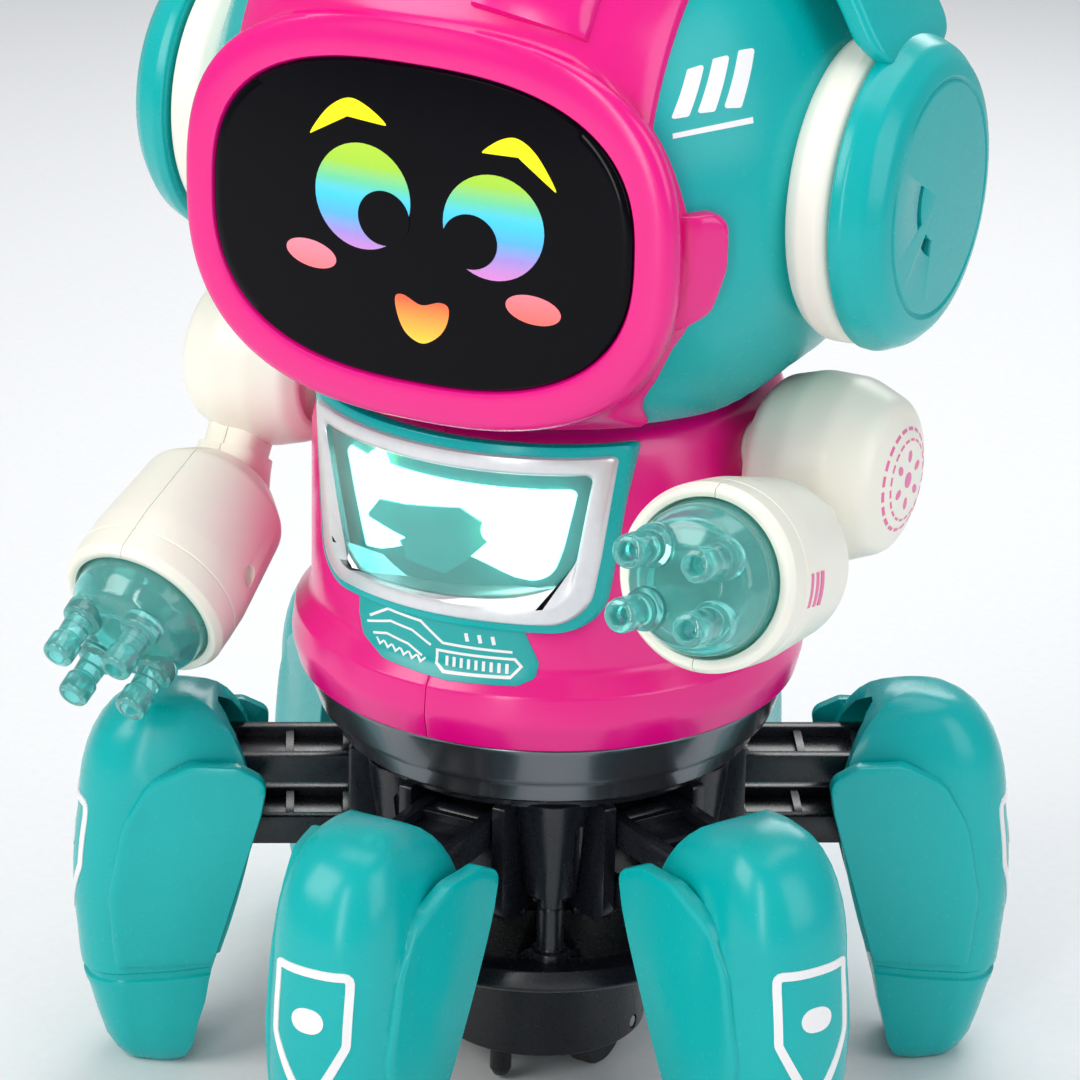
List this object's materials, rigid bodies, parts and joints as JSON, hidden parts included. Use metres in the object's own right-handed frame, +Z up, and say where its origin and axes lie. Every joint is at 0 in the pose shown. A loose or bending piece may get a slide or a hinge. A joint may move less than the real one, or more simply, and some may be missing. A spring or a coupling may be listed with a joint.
{
  "type": "toy robot",
  "caption": "Round-headed toy robot on jointed claw legs, with a screen face, headphones, posable arms and clear hands.",
  "frame": {"origin": "on the floor under the middle of the body", "axes": "-Y is the front, +X the robot's left, +Z up"},
  "size_m": [0.1452, 0.1632, 0.234],
  "materials": {
    "pink_abs": "gloss magenta moulded ABS",
    "teal_abs": "semi-gloss teal moulded ABS",
    "ivory_abs": "satin ivory moulded ABS",
    "black_abs": "gloss black moulded ABS",
    "screen_acrylic": "polished black acrylic with a printed face",
    "silver_paint": "silver paint on ABS",
    "clear_teal": "clear teal polystyrene",
    "steel": "bright steel",
    "tyre_rubber": "soft black rubber",
    "white_pom": "white acetal gears",
    "circuit_board": "green solder mask",
    "cell_wrap": "dark plain cell wrap"
  },
  "bodies": {
    "chassis": {"hub_housing": "black_abs", "base_ring": "black_abs", "centre_post": "black_abs", "base_plate": "black_abs", "drive_motor": "steel", "torso_shell_left": "pink_abs", "torso_shell_right": "pink_abs", "battery_door": "pink_abs", "battery_box": "black_abs", "battery_1": "cell_wrap", "battery_2": "cell_wrap", "battery_3": "cell_wrap", "main_board": "circuit_board", "speaker": "black_abs", "chest_trim": "silver_paint", "chest_lens": "clear_teal"},
    "head": {"head_base": "teal_abs", "head_shell_left": "teal_abs", "head_shell_right": "teal_abs", "crown_band": "pink_abs", "face_mask": "pink_abs", "face_screen": "screen_acrylic", "left_ear_cushion": "ivory_abs", "right_ear_cushion": "ivory_abs", "left_ear_cover": "teal_abs", "right_ear_cover": "teal_abs", "headband": "teal_abs"},
    "left_arm": {"left_shoulder_drum": "ivory_abs", "left_forearm_inner": "ivory_abs", "left_forearm_outer": "ivory_abs", "left_hand": "clear_teal"},
    "right_arm": {"right_shoulder_drum": "ivory_abs", "right_forearm_inner": "ivory_abs", "right_forearm_outer": "ivory_abs", "right_hand": "clear_teal"},
    "drive": {"drive_shaft": "steel", "crown_gear": "white_pom", "cam_gear": "white_pom"},
    "wheelset": {"wheel_axle": "steel", "left_drive_wheel": "tyre_rubber", "right_drive_wheel": "tyre_rubber"},
    "switch": {"power_switch": "black_abs"},
    "leg_1_upper": {"leg_1_upper_arm": "black_abs"},
    "leg_1_lower": {"leg_1_lower_arm": "black_abs"},
    "leg_1_casing": {"leg_1_shell": "teal_abs"},
    "leg_2_upper": {"leg_2_upper_arm": "black_abs"},
    "leg_2_lower": {"leg_2_lower_arm": "black_abs"},
    "leg_2_casing": {"leg_2_shell": "teal_abs"},
    "leg_3_upper": {"leg_3_upper_arm": "black_abs"},
    "leg_3_lower": {"leg_3_lower_arm": "black_abs"},
    "leg_3_casing": {"leg_3_shell": "teal_abs"},
    "leg_4_upper": {"leg_4_upper_arm": "black_abs"},
    "leg_4_lower": {"leg_4_lower_arm": "black_abs"},
    "leg_4_casing": {"leg_4_shell": "teal_abs"},
    "leg_5_upper": {"leg_5_upper_arm": "black_abs"},
    "leg_5_lower": {"leg_5_lower_arm": "black_abs"},
    "leg_5_casing": {"leg_5_shell": "teal_abs"},
    "leg_6_upper": {"leg_6_upper_arm": "black_abs"},
    "leg_6_lower": {"leg_6_lower_arm": "black_abs"},
    "leg_6_casing": {"leg_6_shell": "teal_abs"}
  },
  "joints": [
    {"name": "head_swivel", "type": "hinge", "parent": "chassis", "child": "head", "pos_m": [0, 0, 0.136], "axis": [0, 0, 1], "range_deg": [-20, 20]},
    {"name": "left_shoulder", "type": "hinge", "parent": "chassis", "child": "left_arm", "pos_m": [0.0545, -0.003, 0.1205], "axis": [-1, 0, 0], "range_deg": [-40, 2]},
    {"name": "right_shoulder", "type": "hinge", "parent": "chassis", "child": "right_arm", "pos_m": [-0.0545, -0.003, 0.1205], "axis": [-1, 0, 0], "range_deg": [-1, 41]},
    {"name": "drive_spin", "type": "hinge", "parent": "chassis", "child": "drive", "pos_m": [0, 0, 0.03], "axis": [0, 0, 1], "continuous": true},
    {"name": "wheel_spin", "type": "hinge", "parent": "chassis", "child": "wheelset", "pos_m": [0, 0, 0.009], "axis": [1, 0, 0], "continuous": true},
    {"name": "power_slide", "type": "slide", "parent": "chassis", "child": "switch", "axis": [1, 0, 0], "range_m": [0, 0.004]},
    {"name": "leg_1_lift", "type": "hinge", "parent": "chassis", "child": "leg_1_upper", "pos_m": [0, -0.03, 0.0565], "axis": [-1, 0, 0], "range_deg": [0, 9]},
    {"name": "leg_1_lower_link", "type": "hinge", "parent": "chassis", "child": "leg_1_lower", "pos_m": [0, -0.03, 0.045], "axis": [-1, 0, 0], "range_deg": [0, 9]},
    {"name": "leg_1_casing_pivot", "type": "hinge", "parent": "leg_1_upper", "child": "leg_1_casing", "pos_m": [0, -0.058, 0.0565], "axis": [-1, 0, 0], "range_deg": [-9, 0]},
    {"name": "leg_2_lift", "type": "hinge", "parent": "chassis", "child": "leg_2_upper", "pos_m": [0.02598, -0.015, 0.0565], "axis": [-0.5, -0.866, 0], "range_deg": [0, 9]},
    {"name": "leg_2_lower_link", "type": "hinge", "parent": "chassis", "child": "leg_2_lower", "pos_m": [0.02598, -0.015, 0.045], "axis": [-0.5, -0.866, 0], "range_deg": [0, 9]},
    {"name": "leg_2_casing_pivot", "type": "hinge", "parent": "leg_2_upper", "child": "leg_2_casing", "pos_m": [0.05023, -0.029, 0.0565], "axis": [-0.5, -0.866, 0], "range_deg": [-9, 0]},
    {"name": "leg_3_lift", "type": "hinge", "parent": "chassis", "child": "leg_3_upper", "pos_m": [0.02598, 0.015, 0.0565], "axis": [0.5, -0.866, 0], "range_deg": [0, 9]},
    {"name": "leg_3_lower_link", "type": "hinge", "parent": "chassis", "child": "leg_3_lower", "pos_m": [0.02598, 0.015, 0.045], "axis": [0.5, -0.866, 0], "range_deg": [0, 9]},
    {"name": "leg_3_casing_pivot", "type": "hinge", "parent": "leg_3_upper", "child": "leg_3_casing", "pos_m": [0.05023, 0.029, 0.0565], "axis": [0.5, -0.866, 0], "range_deg": [-9, 0]},
    {"name": "leg_4_lift", "type": "hinge", "parent": "chassis", "child": "leg_4_upper", "pos_m": [0, 0.03, 0.0565], "axis": [1, 0, 0], "range_deg": [0, 9]},
    {"name": "leg_4_lower_link", "type": "hinge", "parent": "chassis", "child": "leg_4_lower", "pos_m": [0, 0.03, 0.045], "axis": [1, 0, 0], "range_deg": [0, 9]},
    {"name": "leg_4_casing_pivot", "type": "hinge", "parent": "leg_4_upper", "child": "leg_4_casing", "pos_m": [0, 0.058, 0.0565], "axis": [1, 0, 0], "range_deg": [-9, 0]},
    {"name": "leg_5_lift", "type": "hinge", "parent": "chassis", "child": "leg_5_upper", "pos_m": [-0.02598, 0.015, 0.0565], "axis": [0.5, 0.866, 0], "range_deg": [0, 9]},
    {"name": "leg_5_lower_link", "type": "hinge", "parent": "chassis", "child": "leg_5_lower", "pos_m": [-0.02598, 0.015, 0.045], "axis": [0.5, 0.866, 0], "range_deg": [0, 9]},
    {"name": "leg_5_casing_pivot", "type": "hinge", "parent": "leg_5_upper", "child": "leg_5_casing", "pos_m": [-0.05023, 0.029, 0.0565], "axis": [0.5, 0.866, 0], "range_deg": [-9, 0]},
    {"name": "leg_6_lift", "type": "hinge", "parent": "chassis", "child": "leg_6_upper", "pos_m": [-0.02598, -0.015, 0.0565], "axis": [-0.5, 0.866, 0], "range_deg": [0, 9]},
    {"name": "leg_6_lower_link", "type": "hinge", "parent": "chassis", "child": "leg_6_lower", "pos_m": [-0.02598, -0.015, 0.045], "axis": [-0.5, 0.866, 0], "range_deg": [0, 9]},
    {"name": "leg_6_casing_pivot", "type": "hinge", "parent": "leg_6_upper", "child": "leg_6_casing", "pos_m": [-0.05023, -0.029, 0.0565], "axis": [-0.5, 0.866, 0], "range_deg": [-9, 0]}
  ],
  "couplings": [
    {"joint": "wheel_spin", "follows": "drive_spin", "ratio": -1},
    {"joint": "leg_1_lower_link", "follows": "leg_1_lift", "ratio": 1},
    {"joint": "leg_1_casing_pivot", "follows": "leg_1_lift", "ratio": -1},
    {"joint": "leg_2_lower_link", "follows": "leg_2_lift", "ratio": 1},
    {"joint": "leg_2_casing_pivot", "follows": "leg_2_lift", "ratio": -1},
    {"joint": "leg_3_lower_link", "follows": "leg_3_lift", "ratio": 1},
    {"joint": "leg_3_casing_pivot", "follows": "leg_3_lift", "ratio": -1},
    {"joint": "leg_4_lower_link", "follows": "leg_4_lift", "ratio": 1},
    {"joint": "leg_4_casing_pivot", "follows": "leg_4_lift", "ratio": -1},
    {"joint": "leg_5_lower_link", "follows": "leg_5_lift", "ratio": 1},
    {"joint": "leg_5_casing_pivot", "follows": "leg_5_lift", "ratio": -1},
    {"joint": "leg_6_lower_link", "follows": "leg_6_lift", "ratio": 1},
    {"joint": "leg_6_casing_pivot", "follows": "leg_6_lift", "ratio": -1}
  ]
}
